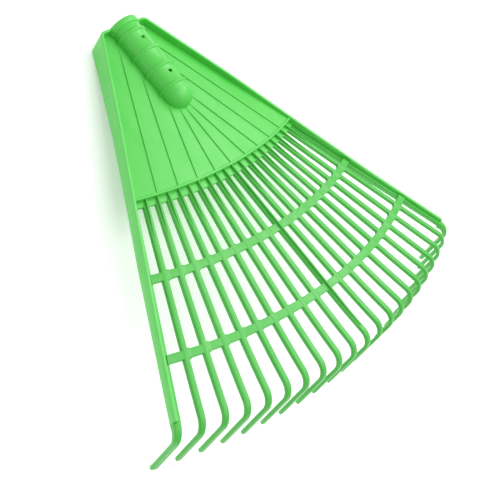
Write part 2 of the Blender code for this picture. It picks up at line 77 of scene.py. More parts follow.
class Side(Enum):
    """The two long sides of the head, seen with the tines pointing towards the viewer."""

    LEFT = -1
    RIGHT = 1


# ---- Finishes ----
def socket(group: Tree, name: str, way: str, kind: str) -> None:
    """Give a node group one named input or output."""
    group.interface.new_socket(name=name, in_out=way, socket_type=kind)


def noise(tree: Tree, scale: float, detail: float, vector: Socket) -> Socket:
    """Add a noise texture.

    Args:
        tree: the node tree that takes it.
        scale: how many cells fit in a metre.
        detail: octaves of finer noise.
        vector: the coordinates that it reads.

    Returns:
        Its grey output.
    """
    node = tree.nodes.new("ShaderNodeTexNoise")
    node.inputs["Scale"].default_value = scale
    node.inputs["Detail"].default_value = detail
    tree.links.new(vector, node.inputs["Vector"])
    return node.outputs["Fac"]


def remap(
    tree: Tree,
    value: Socket,
    low: float,
    high: float,
    to_low: float,
    to_high: float,
) -> Socket:
    """Stretch a grey value from one range to another, held at its ends.

    Args:
        tree: the node tree that takes the node.
        value: the grey value.
        low: the value that gives to_low.
        high: the value that gives to_high.
        to_low: lowest result.
        to_high: highest result.

    Returns:
        The stretched value.
    """
    node = tree.nodes.new("ShaderNodeMapRange")
    for name, number in (("From Min", low), ("From Max", high), ("To Min", to_low), ("To Max", to_high)):
        node.inputs[name].default_value = number
    tree.links.new(value, node.inputs["Value"])
    return node.outputs["Result"]


def blend(
    tree: Tree,
    share: Socket,
    under: Socket,
    over: Socket,
) -> Socket:
    """Mix two colours by a grey value.

    Args:
        tree: the node tree that takes the node.
        share: how much of the second colour shows.
        under: first colour.
        over: second colour.

    Returns:
        The mixed colour.
    """
    node = tree.nodes.new("ShaderNodeMix")
    node.data_type = "RGBA"
    tree.links.new(share, node.inputs[0])
    tree.links.new(under, node.inputs[6])
    tree.links.new(over, node.inputs[7])
    return node.outputs[2]


def stretched(tree: Tree, vector: Socket, scale: Sequence[float]) -> Socket:
    """Draw coordinates out along some axes, for marks that run in the flow of the plastic.

    Args:
        tree: the node tree that takes the node.
        vector: the coordinates.
        scale: what each axis is multiplied by.

    Returns:
        The stretched coordinates.
    """
    node = tree.nodes.new("ShaderNodeMapping")
    node.inputs["Scale"].default_value = scale
    tree.links.new(vector, node.inputs["Vector"])
    return node.outputs["Vector"]


def arithmetic(tree: Tree, operation: str, first: Socket, second: Socket | float) -> Socket:
    """Combine two grey values, or a grey value and a number.

    Args:
        tree: the node tree that takes the node.
        operation: ADD, SUBTRACT or MULTIPLY.
        first: the first grey value.
        second: the second grey value, or a number.

    Returns:
        The combined value.
    """
    node = tree.nodes.new("ShaderNodeMath")
    node.operation = operation
    tree.links.new(first, node.inputs[0])
    if isinstance(second, Socket):
        tree.links.new(second, node.inputs[1])
    else:
        node.inputs[1].default_value = second
    return node.outputs[0]


def moulded_group() -> Tree:
    """Build the effect that every moulded finish shares: flow marks, scuffs, paler edges and a fine grain.

    Returns:
        The node group, with colours, an edge mask and amounts going in, and Color, Roughness and Height out.
    """
    group = bpy.data.node_groups.new("moulded_surface", "ShaderNodeTree")
    for name in ("Colour", "Deep Colour", "Pale Colour"):
        socket(group, name, "INPUT", "NodeSocketColor")
    socket(group, "Vector", "INPUT", "NodeSocketVector")
    for name in ("Edge", "Wear", "Roughness"):
        socket(group, name, "INPUT", "NodeSocketFloat")
    socket(group, "Color", "OUTPUT", "NodeSocketColor")
    socket(group, "Roughness", "OUTPUT", "NodeSocketFloat")
    socket(group, "Height", "OUTPUT", "NodeSocketFloat")
    inside = group.nodes.new("NodeGroupInput").outputs
    out = group.nodes.new("NodeGroupOutput").inputs
    place = inside["Vector"]
    clouds = remap(group, noise(group, 9.0, 3.0, place), 0.3, 0.7, 0.0, 0.55)
    drawn_out = stretched(group, place, (3.2, 0.5, 3.2))
    flow = remap(group, noise(group, 22.0, 4.0, drawn_out), 0.35, 0.72, 0.0, 0.30)
    colour = blend(group, clouds, inside["Colour"], inside["Deep Colour"])
    colour = blend(group, flow, colour, inside["Pale Colour"])
    dragged = stretched(group, place, (6.0, 0.6, 2.0))
    scratches = remap(group, noise(group, 60.0, 5.0, dragged), 0.66, 0.74, 0.0, 1.0)
    patches = remap(group, noise(group, 14.0, 2.0, place), 0.45, 0.65, 0.0, 1.0)
    scuffs = arithmetic(group, "MULTIPLY", arithmetic(group, "MULTIPLY", scratches, patches), inside["Wear"])
    edges = arithmetic(group, "MULTIPLY", inside["Edge"], inside["Wear"])
    colour = blend(group, scuffs, colour, inside["Pale Colour"])
    colour = blend(group, edges, colour, inside["Pale Colour"])
    specks = remap(group, noise(group, 700.0, 2.0, place), 0.3, 0.7, -0.05, 0.05)
    smears = remap(group, noise(group, 35.0, 3.0, place), 0.3, 0.7, -0.07, 0.07)
    rough = arithmetic(group, "ADD", inside["Roughness"], specks)
    rough = arithmetic(group, "ADD", rough, smears)
    rough = arithmetic(group, "ADD", rough, arithmetic(group, "MULTIPLY", scuffs, 0.25))
    grain = noise(group, 1400.0, 2.0, place)
    ripple = noise(group, 55.0, 2.0, place)
    height = arithmetic(group, "ADD", arithmetic(group, "MULTIPLY", ripple, 3.0), grain)
    height = arithmetic(group, "SUBTRACT", height, arithmetic(group, "MULTIPLY", scuffs, 0.6))
    group.links.new(colour, out["Color"])
    group.links.new(rough, out["Roughness"])
    group.links.new(height, out["Height"])
    return group


@dataclass(frozen=True)
class MouldedPlastic:
    """Satin polypropylene, coloured through, with the small marks of its mould and of use."""

    name: str
    colour: Colour
    deep: Colour
    pale: Colour
    roughness: float = 0.36
    wear: float = 0.30
    relief: float = 0.00006
    relief_strength: float = 0.35
    edge_starts: float = 0.53
    edge_full: float = 0.62
    refraction: float = 1.49

    def material(self, group: Tree) -> Material:
        """Make the Blender material.

        Args:
            group: the shared moulded-surface effect.

        Returns:
            A new material.
        """
        made = bpy.data.materials.new(self.name)
        made.use_nodes = True
        tree = made.node_tree
        shader = tree.nodes["Principled BSDF"]
        surface = tree.nodes.new("ShaderNodeGroup")
        surface.node_tree = group
        for name, value in (
            ("Colour", self.colour),
            ("Deep Colour", self.deep),
            ("Pale Colour", self.pale),
            ("Wear", self.wear),
            ("Roughness", self.roughness),
        ):
            surface.inputs[name].default_value = value
        place = tree.nodes.new("ShaderNodeTexCoord").outputs["Object"]
        tree.links.new(place, surface.inputs["Vector"])
        pointed = tree.nodes.new("ShaderNodeNewGeometry").outputs["Pointiness"]
        edge = remap(tree, pointed, self.edge_starts, self.edge_full, 0.0, 1.0)
        tree.links.new(edge, surface.inputs["Edge"])
        tree.links.new(surface.outputs["Color"], shader.inputs["Base Color"])
        tree.links.new(surface.outputs["Roughness"], shader.inputs["Roughness"])
        bump = tree.nodes.new("ShaderNodeBump")
        bump.inputs["Strength"].default_value = self.relief_strength
        bump.inputs["Distance"].default_value = self.relief
        tree.links.new(surface.outputs["Height"], bump.inputs["Height"])
        tree.links.new(bump.outputs["Normal"], shader.inputs["Normal"])
        shader.inputs["IOR"].default_value = self.refraction
        return made


@dataclass(frozen=True)
class StudioPaper:
    """The pale seamless paper that the head lies on."""

    colour: Colour = (0.93, 0.93, 0.93, 1.0)
    glow: float = 0.28

    def material(self) -> Material:
        """Make a matt, faintly mottled white material.

        Returns:
            A new material.
        """
        made = bpy.data.materials.new("studio_paper")
        made.use_nodes = True
        tree = made.node_tree
        shader = tree.nodes["Principled BSDF"]
        shader.inputs["Base Color"].default_value = self.colour
        shader.inputs["Emission Color"].default_value = WHITE
        shader.inputs["Emission Strength"].default_value = self.glow
        place = tree.nodes.new("ShaderNodeTexCoord").outputs["Object"]
        mottle = remap(tree, noise(tree, 300.0, 2.0, place), 0.3, 0.7, 0.85, 0.95)
        tree.links.new(mottle, shader.inputs["Roughness"])
        return made


# ---- Workshop: the operators that every piece is made with ----
def deselect() -> None:
    """Leave nothing selected."""
    bpy.ops.object.select_all(action="DESELECT")


def hold(piece: Object) -> None:
    """Select one object alone and make it active.

    Args:
        piece: the object.
    """
    deselect()
    piece.select_set(True)
    bpy.context.view_layer.objects.active = piece


def pick(piece: Object, kind: str, test: Callable[[object], bool]) -> None:
    """Select the edges or faces that pass a test, in edit mode.

    Args:
        piece: the object in edit mode.
        kind: EDGE or FACE.
        test: says of one edge or face whether it is wanted.
    """
    bpy.ops.mesh.select_mode(type=kind)
    bpy.ops.mesh.select_all(action="DESELECT")
    mesh = bmesh.from_edit_mesh(piece.data)
    for item in mesh.edges if kind == "EDGE" else mesh.faces:
        if test(item):
            item.select_set(True)
    bmesh.update_edit_mesh(piece.data)


def is_long(edge: bmesh.types.BMEdge) -> bool:
    """Whether an edge of a stock bar, 1 long, runs its whole length or half of it."""
    return abs(edge.verts[0].co.y - edge.verts[1].co.y) > 0.4


def slice_bar(piece: Object, count: int) -> None:
    """Cut a stock bar into equal slices along Y, in edit mode.

    Args:
        piece: the bar.
        count: how many slices; an even number where it passes the most cuts of one step.
    """
    if count > MOST_CUTS:
        pick(piece, "EDGE", is_long)
        bpy.ops.mesh.subdivide(number_cuts=1)
        count //= 2
    pick(piece, "EDGE", is_long)
    if count > 1:
        bpy.ops.mesh.subdivide(number_cuts=count - 1)


def apply_modifiers(piece: Object) -> None:
    """Apply every modifier of a piece, in order.

    Args:
        piece: the object that has them.
    """
    hold(piece)
    for modifier in list(piece.modifiers):
        bpy.ops.object.modifier_apply(modifier=modifier.name)


def smooth(piece: Object) -> None:
    """Turn a closed piece's faces outwards and shade it smooth, sharp at its real corners.

    Args:
        piece: the closed piece.
    """
    hold(piece)
    bpy.ops.object.mode_set(mode="EDIT")
    bpy.ops.mesh.select_all(action="SELECT")
    bpy.ops.mesh.normals_make_consistent(inside=False)
    bpy.ops.object.mode_set(mode="OBJECT")
    bpy.ops.object.shade_smooth_by_angle(angle=SMOOTH_ANGLE)


def cut_away(piece: Object, cutter: Object) -> None:
    """Take one shape out of a piece and throw the shape away.

    Args:
        piece: the piece that is cut.
        cutter: the shape that is taken out.
    """
    hold(piece)
    modifier = piece.modifiers.new("cut", "BOOLEAN")
    modifier.operation = "DIFFERENCE"
    modifier.solver = "EXACT"
    modifier.object = cutter
    apply_modifiers(piece)
    bpy.data.objects.remove(cutter, do_unlink=True)


@dataclass(frozen=True)
class Slice:
    """One cross-section of a swept bar: the two ends of its top, and the way down to its bottom."""

    left: Vector
    right: Vector
    down: Vector
    pinch: float = 1.0

    def point(self, across: float, deep: float) -> Vector:
        """A point of the section.

        Args:
            across: 0 at its left side and 1 at its right.
            deep: 0 at its top and 1 at its bottom.

        Returns:
            The point, drawn in towards the middle where the section is pinched.
        """
        middle = (self.left + self.right + self.down) / 2
        return middle.lerp(self.left.lerp(self.right, across) + self.down * deep, self.pinch)


def sweep(
    name: str,
    slices: Sequence[Slice],
    size: tuple[float, float],
    rounding: tuple[float, float],
    stand: Matrix,
) -> Object:
    """Make a bar that follows a row of cross-sections.

    A cube is stretched into stock of the bar's width and depth, its long edges are bevelled, it is
    cut into slices, and each slice is put in its place.

    Args:
        name: the piece's name.
        slices: the cross-sections, from one end to the other.
        size: width and depth of the stock.
        rounding: bevel of the two top edges and of the two bottom ones.
        stand: the fan's own frame in the row frame.

    Returns:
        The finished piece, with its object at the origin.
    """
    width, depth = size
    deselect()
    bpy.ops.mesh.primitive_cube_add(size=1.0, location=(0.0, 0.5, 0.0), scale=(width, 1.0, depth))
    piece = bpy.context.active_object
    piece.name = name
    bpy.ops.object.transform_apply(location=True, rotation=True, scale=True)
    bpy.ops.object.mode_set(mode="EDIT")
    for radius, sign in zip(rounding, (1, -1)):
        pick(piece, "EDGE", lambda edge: is_long(edge) and edge.verts[0].co.z * sign > depth * 0.45)
        bpy.ops.mesh.bevel(offset=radius, segments=BEVEL_SEGMENTS, affect="EDGES")
    count = len(slices) - 1
    slice_bar(piece, count)
    bpy.ops.object.mode_set(mode="OBJECT")
    for vertex in piece.data.vertices:
        section = slices[round(vertex.co.y * count)]
        vertex.co = stand @ section.point(vertex.co.x / width + 0.5, 0.5 - vertex.co.z / depth)
    smooth(piece)
    return piece


# ---- The fan that all pieces follow ----
@dataclass
class Fan:
    """The arched fan of rays, with the tines' common centre at its origin, and how it stands."""

    half_spread: float = math.radians(28.3)
    arch: float = 0.181
    tines: int = 21
    tilt: float = math.radians(-10.2918)
    shift: tuple[float, float, float] = (0.0, 0.243771, 0.009466)

    @property
    def stand(self) -> Matrix:
        """The fan's frame in the row frame."""
        return Matrix.Translation(self.shift) @ Matrix.Rotation(self.tilt, 4, "X")

    @property
    def middle(self) -> int:
        """Number of the middle tine, counted from 0."""
        return (self.tines - 1) // 2

    def share(self, tine: int) -> float:
        """Place of a tine across the fan, from -1 to 1."""
        return (tine - self.middle) / self.middle

    def ray(self, tine: int) -> float:
        """Angle of a tine's ray from the middle one."""
        return self.share(tine) * self.half_spread

    def slope(self, angle: float) -> float:
        """How steeply the arched face falls away to the side of a ray."""
        return 2 * self.arch * math.sin(angle) * math.cos(angle)

    def ahead(self, angle: float) -> Vector:
        """The level direction in which a ray runs."""
        return Vector((math.sin(angle), -math.cos(angle), 0.0))

    def point(self, radius: float, angle: float, side: float = 0.0, lift: float = 0.0) -> Vector:
        """A point beside a ray of the fan.

        Args:
            radius: how far along the ray.
            angle: the ray's angle from the middle one.
            side: how far to the right of the ray.
            lift: height over the face that the tines' tops form.

        Returns:
            The point in the fan's frame.
        """
        droop = self.arch * radius * math.sin(angle) ** 2
        return Vector((
            radius * math.sin(angle) + side * math.cos(angle),
            -radius * math.cos(angle) + side * math.sin(angle),
            lift - droop - self.slope(angle) * side,
        ))

    def across(self, share: float, radius: float, lift: float, inset: float = 0.0) -> Vector:
        """A point at a share of the half spread, drawn in a little towards the middle."""
        return self.point(radius, share * self.half_spread, -share * inset, lift)

    def over(self, x: float, y: float, lift: float) -> Vector:
        """A point over the arched face, by its place in plan."""
        return Vector((x, y, lift - self.arch * x * x / math.hypot(x, y)))


@dataclass(frozen=True)
class Arc:
    """An arc across the fan that lies further out towards the sides."""

    radius: float
    bow: float

    def at(self, share: float, offset: float = 0.0) -> float:
        """Its radius at a share of the half spread, moved out by an offset."""
        return self.radius * (1 + self.bow * share * share) + offset


REAR = 0.0490  # setback of the head's rear end from the tines' common centre
RIM = Arc(0.2212, 0.058)
WEB_END = Arc(0.2306, 0.044)
UPPER_BAR = Arc(0.2955, 0.046)
LOWER_BAR = Arc(0.3674, 0.040)


@dataclass
class SubAssembly:
    """What every group of pieces has: the fan it follows, its finish, and a list of its pieces."""

    fan: Fan
    finish: Material
    pieces: list[Object] = field(default_factory=list, init=False)

    def dress(self, piece: Object, *nodes: str) -> None:
        """Give a piece its finish and its place in the frame.

        Args:
            piece: the finished piece.
            nodes: the frame's nodes that it stands for.
        """
        piece.data.materials.clear()
        piece.data.materials.append(self.finish)
        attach(piece, BODY)
        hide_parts(*nodes)
        self.pieces.append(piece)
        log.info("%s: %d faces, stands for %s", piece.name, len(piece.data.polygons), ", ".join(nodes))


# ---- Tines ----
@dataclass
class TineSizes:
    """Sizes of the bent tines, in metres."""

    width: float = 0.0057
    depth: float = 0.0040
    corner: Arc = Arc(0.4345, 0.0355)
    bend_radius: float = 0.0154
    bend_angle: float = math.radians(85.2)
    tip_length: float = 0.0477
    tip_width: float = 0.0050
    tip_depth: float = 0.0036
    rounding: float = 0.0012
    root_overlap: float = 0.0022
    spring: float = 0.0015
    rib_width: float = 0.0016
    rib_height: float = 0.0024
    rib_length: float = 0.033
    rib_narrows: float = 0.4  # share of its width that a root rib loses
    spine_width: float = 0.0017
    spine_height: float = 0.0025
    spine_end: float = 0.4150
    spine_end_drop: float = 0.0016
    spine_fade: float = 0.2  # share of its length over which the spine drops
    outer_reach: float = 0.0040
    outer_outset: float = 0.0025
    ledge_outset: float = 0.0005
    outer_drop: float = 0.0022
    outer_bend_depth: float = 0.0082
    outer_tip_width: float = 0.0060
    outer_stock: float = 0.0060
    outer_rounding: tuple[float, float] = (0.0010, 0.0007)
    rail_end: float = 0.4352
    shoulder: tuple[float, float] = (0.0001, 0.0003)  # past the rail's end, where the full width starts
    underside_rounding: float = 0.0005
    bluntness: float = 0.12  # share of the section that is left at the very end of a tip


@dataclass
class Tines(SubAssembly):
    """The row of bent tines with the wedges at their roots and the low rib on the middle one."""

    sizes: TineSizes

    def is_outer(self, tine: int) -> bool:
        """Whether a tine lies along a side rail."""
        return tine in (0, self.fan.tines - 1)

    def bend_start(self, tine: int) -> float:
        """Radius at which a tine starts to bend."""
        setback = self.sizes.bend_radius * math.tan(self.sizes.bend_angle / 2)
        return self.sizes.corner.at(self.fan.share(tine)) - setback

    def lift(self, tine: int, radius: float) -> float:
        """Height of a tine's top over the fan's arch.

        Args:
            tine: its number.
            radius: where along it.

        Returns:
            The height; an inner tine springs up a little past the last bar.
        """
        if self.is_outer(tine):
            return -self.sizes.outer_drop
        share = self.fan.share(tine)
        bar = LOWER_BAR.at(share)
        past = max(0.0, radius - bar) / (self.bend_start(tine) - bar)
        return self.sizes.spring * (1 - share * share) * past * past

    def outer_sides(self, tine: int, width: float) -> Sides:
        """Left and right side of an outer tine, from its ray."""
        outer = self.sizes.outer_reach - width
        return (-self.sizes.outer_reach, -outer) if tine else (outer, self.sizes.outer_reach)

    def section(
        self,
        tine: int,
        place: Vector,
        turn: float,
        sides: Sides,
        depth: float,
        pinch: float = 1.0,
    ) -> Slice:
        """One cross-section of a tine.

        Args:
            tine: its number.
            place: the point of its ray at the section's top.
            turn: how far the tine has bent down there.
            sides: left and right side, from the ray.
            depth: thickness.
            pinch: how much of its size is left, where the tip is rounded off.

        Returns:
            The section.
        """
        angle = self.fan.ray(tine)
        sideways = Vector((math.cos(angle), math.sin(angle), -self.fan.slope(angle)))
        inwards = -self.fan.ahead(angle) * math.sin(turn) - Vector((0.0, 0.0, 1.0)) * math.cos(turn)
        return Slice(place + sideways * sides[0], place + sideways * sides[1], inwards * depth, pinch)

    def straight(self, tine: int, radii: Sequence[float], sides: Sides, depth: float) -> list[Slice]:
        """Sections of a tine's straight run.

        Args:
            tine: its number.
            radii: where the sections are.
            sides: left and right side, from the ray.
            depth: thickness.

        Returns:
            One section at each radius.
        """
        angle = self.fan.ray(tine)
        return [
            self.section(tine, self.fan.point(radius, angle, 0.0, self.lift(tine, radius)), 0.0, sides, depth)
            for radius in radii
        ]

    def bend(self, tine: int, sides: Sides, depth: float, tip_sides: Sides) -> list[Slice]:
        """Sections round a tine's bend and down to its rounded tip.

        Args:
            tine: its number.
            sides: left and right side before the bend.
            depth: thickness before the bend.
            tip_sides: left and right side of the tip.

        Returns:
            The sections, from the start of the bend.
        """
        sizes = self.sizes
        angle = self.fan.ray(tine)
        radius = self.bend_start(tine)
        start = self.fan.point(radius, angle, 0.0, self.lift(tine, radius))
        ahead = self.fan.ahead(angle)
        down = Vector((0.0, 0.0, -1.0))
        made = []
        bend_steps, tip_steps, nose_steps = 12, 3, 6
        for step in range(bend_steps + 1):
            share = step / bend_steps
            turn = sizes.bend_angle * share
            place = start + (ahead * math.sin(turn) + down * (1 - math.cos(turn))) * sizes.bend_radius
            between = tuple(a + (b - a) * share for a, b in zip(sides, tip_sides))
            made.append(self.section(tine, place, turn, between, depth + (sizes.tip_depth - depth) * share))
        along = ahead * math.cos(sizes.bend_angle) + down * math.sin(sizes.bend_angle)
        nose = sizes.tip_depth / 2
        for step in range(1, tip_steps + 1):
            reach = place + along * (sizes.tip_length - nose) * step / tip_steps
            made.append(self.section(tine, reach, sizes.bend_angle, tip_sides, sizes.tip_depth))
        for step in range(1, nose_steps + 1):
            share = math.sin(math.pi / 2 * step / nose_steps)
            pinch = max(sizes.bluntness, math.sqrt(1 - share * share))
            reach = place + along * (sizes.tip_length - nose * (1 - share))
            made.append(self.section(tine, reach, sizes.bend_angle, tip_sides, sizes.tip_depth, pinch))
        return made

    def build_inner(self, tine: int) -> None:
        """Model one of the tines between the two outer ones.

        Args:
            tine: its number.
        """
        sizes = self.sizes
        start = WEB_END.at(self.fan.share(tine), -sizes.root_overlap)
        end = self.bend_start(tine)
        steps = 16
        radii = [start + (end - start) * step / steps for step in range(steps)]
        sides = (-sizes.width / 2, sizes.width / 2)
        tip = (-sizes.tip_width / 2, sizes.tip_width / 2)
        slices = self.straight(tine, radii, sides, sizes.depth) + self.bend(tine, sides, sizes.depth, tip)
        rounding = (sizes.rounding, sizes.underside_rounding)
        name = f"bent_tine_{tine + 1:02d}"
        piece = sweep(name, slices, (sizes.width, sizes.depth), rounding, self.fan.stand)
        self.dress(piece, f"tine_{tine + 1:02d}")
        if tine != self.fan.middle:
            self.build_root_wedge(tine, start)

    def build_root_wedge(self, tine: int, start: float) -> None:
        """Model the wedge that stiffens a tine where it leaves the web.

        Args:
            tine: its number.
            start: radius at which the tine starts.
        """
        sizes = self.sizes
        angle = self.fan.ray(tine)
        rim = RIM.at(self.fan.share(tine))
        end = start + sizes.root_overlap + sizes.rib_length
        slices = []
        steps = 12
        for step in range(steps + 1):
            radius = rim + (end - rim) * step / steps
            left_over = min(1.0, (end - radius) / sizes.rib_length)
            half = sizes.rib_width / 2 * (1 - sizes.rib_narrows * (1 - left_over))
            top = sizes.rib_height * left_over
            left = self.fan.point(radius, angle, -half, top)
            right = self.fan.point(radius, angle, half, top)
            slices.append(Slice(left, right, Vector((0.0, 0.0, -top - SUNK))))
        name = f"root_wedge_{tine + 1:02d}"
        piece = sweep(name, slices, (sizes.rib_width, RIB_STOCK), RIB_ROUNDING, self.fan.stand)
        self.dress(piece, f"tine_{tine + 1:02d}")

    def build_outer(self, tine: int) -> None:
        """Model an outer tine: a ledge inside the rail, then a stout bend past the rail's end.

        Args:
            tine: its number.
        """
        sizes = self.sizes
        ledge = self.outer_sides(tine, sizes.outer_reach + sizes.ledge_outset)
        full = self.outer_sides(tine, sizes.outer_reach + sizes.outer_outset)
        tip = self.outer_sides(tine, sizes.outer_tip_width)
        start = WEB_END.at(1.0, -sizes.root_overlap)
        steps = 20
        radii = [start + (sizes.rail_end - start) * step / steps for step in range(steps + 1)]
        shoulder = [sizes.rail_end + past for past in sizes.shoulder]
        slices = self.straight(tine, radii, ledge, sizes.depth)
        slices += self.straight(tine, shoulder, full, sizes.outer_bend_depth)
        slices += self.bend(tine, full, sizes.outer_bend_depth, tip)
        stock = (sizes.outer_stock, sizes.outer_stock)
        name = f"outer_tine_{tine + 1:02d}"
        piece = sweep(name, slices, stock, sizes.outer_rounding, self.fan.stand)
        self.dress(piece, f"tine_{tine + 1:02d}")

    def build_spine(self) -> None:
        """Model the low rib along the middle tine."""
        sizes = self.sizes
        start = RIM.at(0.0)
        slices = []
        steps = 24
        for step in range(steps + 1):
            share = step / steps
            radius = start + (sizes.spine_end - start) * share
            faded = max(0.0, share - 1 + sizes.spine_fade) / sizes.spine_fade
            height = sizes.spine_height - sizes.spine_end_drop * faded
            base = self.lift(self.fan.middle, radius)
            half = sizes.spine_width / 2
            left = self.fan.point(radius, 0.0, -half, base + height)
            right = self.fan.point(radius, 0.0, half, base + height)
            slices.append(Slice(left, right, Vector((0.0, 0.0, -height - SUNK))))
        piece = sweep("middle_spine", slices, (sizes.spine_width, RIB_STOCK), RIB_ROUNDING, self.fan.stand)
        self.dress(piece, "spine_rib")

    def build(self) -> None:
        """Model every tine and the spine."""
        for tine in range(self.fan.tines):
            if self.is_outer(tine):
                self.build_outer(tine)
            else:
                self.build_inner(tine)
        self.build_spine()


# ---- Crossbars ----
@dataclass
class BarSizes:
    """Sizes of the two bars that tie the tines together, in metres."""

    width: float = 0.0080
    top: float = -0.00012
    bottom: float = -0.00385
    stock_depth: float = 0.0040
    rounding: tuple[float, float] = (0.0006, 0.0005)
    fillet: float = 0.0009
    fillet_steps: tuple[float, ...] = (1.0, 0.55, 0.2, 0.0)
    inset: float = 0.0020  # a bar ends inside the ledge beside each rail


@dataclass
class Crossbars(SubAssembly):
    """The two arched bars, flared a little where they meet each tine."""

    sizes: BarSizes
    tine_width: float

    def places(self, radius: float) -> list[tuple[float, float]]:
        """Shares across the fan at which a bar is cut, each with how far it flares there.

        Args:
            radius: the bar's radius.

        Returns:
            Pairs of a share and a flare.
        """
        fillet = self.sizes.fillet
        arc = radius * self.fan.half_spread
        found = [(-1.0, 0.0)]
        for tine in range(1, self.fan.tines - 1):
            for side in (-1, 1):
                gaps = self.sizes.fillet_steps
                for gap in gaps if side < 0 else reversed(gaps):
                    flare = fillet * (1 - math.sqrt(max(0.0, 1 - (1 - gap) ** 2)))
                    offset = side * (self.tine_width / 2 + gap * fillet)
                    found.append((self.fan.share(tine) + offset / arc, flare))
        found.append((1.0, 0.0))
        if len(found) % 2 == 0:  # one more makes the number of slices even, as slice_bar needs
            found.insert(1, (-0.985, 0.0))
        return found

    def build_bar(self, name: str, arc: Arc, node: str) -> None:
        """Model one bar.

        Args:
            name: the piece's name.
            arc: the bar's centre line.
            node: the frame's node that it stands for.
        """
        slices = []
        for share, flare in self.places(arc.radius):
            reach = self.sizes.width / 2 + flare
            near = self.fan.across(share, arc.at(share, -reach), self.sizes.top, self.sizes.inset)
            far = self.fan.across(share, arc.at(share, reach), self.sizes.top, self.sizes.inset)
            slices.append(Slice(near, far, Vector((0.0, 0.0, self.sizes.bottom - self.sizes.top))))
        stock = (self.sizes.width, self.sizes.stock_depth)
        piece = sweep(name, slices, stock, self.sizes.rounding, self.fan.stand)
        self.dress(piece, node)

    def build(self) -> None:
        """Model both bars."""
        self.build_bar("upper_tie_bar", UPPER_BAR, "inner_crossbar")
        self.build_bar("lower_tie_bar", LOWER_BAR, "outer_crossbar")


# ---- Socket ----
@dataclass
class SocketSizes:
    """Sizes of the handle socket, in metres; setbacks run from the tines' common centre."""

    axis_height: float = 0.0030
    bore: float = 0.0140
    bore_depth: float = 0.0780
    barrel: float = 0.0155
    collar: float = 0.0173
    collar_length: float = 0.0065
    ring: float = 0.0173
    ring_width: float = 0.0036
    rings: tuple[float, ...] = (0.0643, 0.0875, 0.1080, 0.1296)
    dome: float = 0.1364
    dome_length: float = 0.0146
    screw_holes: tuple[float, ...] = (0.0745, 0.1168)
    screw_radius: float = 0.0018
    screw_depth: float = 0.0070
    screw_sunk: float = 0.0005  # how far below the barrel's top the flare starts
    screw_flare: tuple[tuple[float, float], ...] = ((0.0005, 1.30), (0.0030, 1.0))
    lip: float = 0.0006
    lip_profile: tuple[tuple[float, float], ...] = ((0.0, -0.0006), (0.0002, -0.0002), (0.0007, 0.0))
    shoulder_profile: tuple[tuple[float, float], ...] = ((-0.0005, 0.0), (0.0, -0.0003))
    shoulder_slope: float = 0.0007
    bore_end_rounding: float = 0.0010
    bead: tuple[tuple[float, float], ...] = ((0.2, 1.0), (0.5, 0.84), (0.8, 0.48), (1.0, 0.10), (1.25, 0.0))


